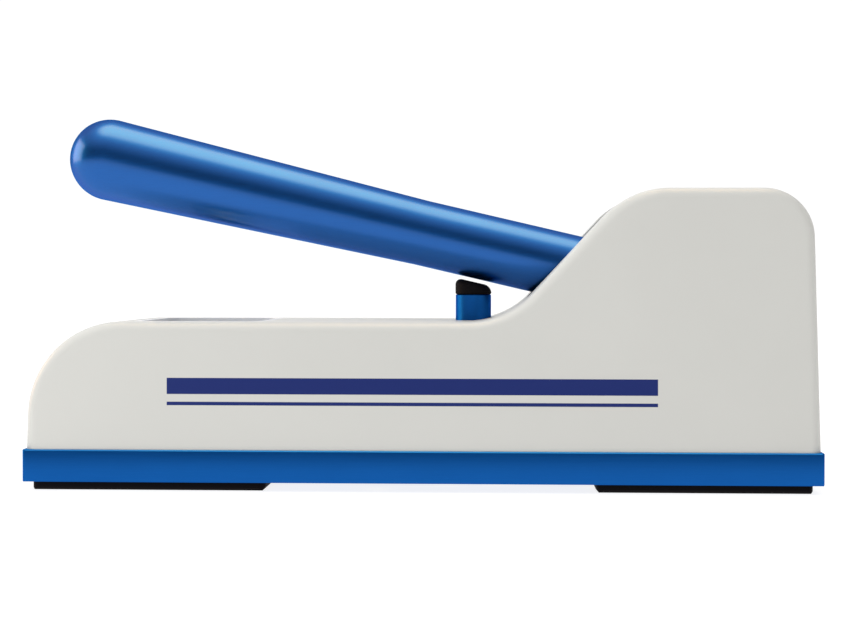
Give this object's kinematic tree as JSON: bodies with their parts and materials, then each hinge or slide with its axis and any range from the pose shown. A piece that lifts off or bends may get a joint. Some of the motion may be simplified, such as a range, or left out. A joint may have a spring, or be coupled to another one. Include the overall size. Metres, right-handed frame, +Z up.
{
  "type": "tablet crusher",
  "caption": "Bench tablet crusher: a long lever hinged in a raised housing drives a ram that crushes tablets in a pouch dropped into the deck slot, on a thick base plate.",
  "frame": {"origin": "centre of the footprint, at the bottom of the rubber feet, on the surface the object stands on", "axes": "+Z up; +X along the length, from the low pouch end towards the tall pivot end; +Y across"},
  "size_m": [0.2712, 0.08, 0.1296],
  "materials": {
    "blue_anodised": "satin blue anodised aluminium with a fine turned grain",
    "housing_plastic": "satin light warm grey moulded plastic with a very fine grain",
    "black_rubber": "matte black rubber",
    "insert_plastic": "matte mid grey moulded plastic",
    "plain_aluminium": "milled",
    "brushed_steel": "brushed stainless steel",
    "fastener_steel": "satin zinc plated steel",
    "bearing_bronze": "plain turned bearing bronze",
    "white_acetal": "smooth white acetal"
  },
  "bodies": {
    "base": {"base_plate": "blue_anodised", "front_foot_pad": "black_rubber", "rear_foot_pad": "black_rubber", "housing": "housing_plastic", "housing_screws": "fastener_steel", "pouch_guide": "insert_plastic", "anvil_block": "plain_aluminium", "anvil_plate": "brushed_steel", "anvil_plate_screws": "fastener_steel", "slide_strip": "white_acetal", "guide_block": "plain_aluminium", "guide_liner": "white_acetal", "base_screws": "fastener_steel", "stop_post": "blue_anodised", "bumper_cap": "black_rubber", "pivot_block_left": "plain_aluminium", "pivot_block_right": "plain_aluminium", "pivot_pin": "fastener_steel", "pivot_clips": "fastener_steel", "thrust_washers": "bearing_bronze"},
    "lever": {"handle_bar": "blue_anodised", "lever_plate_left": "brushed_steel", "lever_plate_right": "brushed_steel", "lever_spacer": "plain_aluminium", "pivot_bushes": "bearing_bronze", "handle_bolts": "fastener_steel", "handle_nuts": "fastener_steel", "roller_pin": "fastener_steel"},
    "ram": {"ram_bar": "plain_aluminium", "ram_head": "plain_aluminium", "ram_head_screws": "fastener_steel", "crush_plate": "brushed_steel", "crush_plate_screws": "fastener_steel"},
    "roller": {"drive_roller": "fastener_steel"}
  },
  "joints": [
    {"name": "handle_lift", "type": "hinge", "parent": "base", "child": "lever", "pos_m": [0.07, 0, 0.024], "axis": [0, 1, 0], "range_deg": [0, 43]},
    {"name": "ram_slide", "type": "slide", "parent": "base", "child": "ram", "axis": [1, 0, 0], "range_m": [-0.0001, 0.0104]},
    {"name": "roller_spin", "type": "hinge", "parent": "lever", "child": "roller", "pos_m": [0.06487, 0, 0.03703], "axis": [0, 1, 0], "continuous": true}
  ],
  "couplings": [
    {"joint": "ram_slide", "follows": "handle_lift", "m_per_rad": 0.013674}
  ]
}
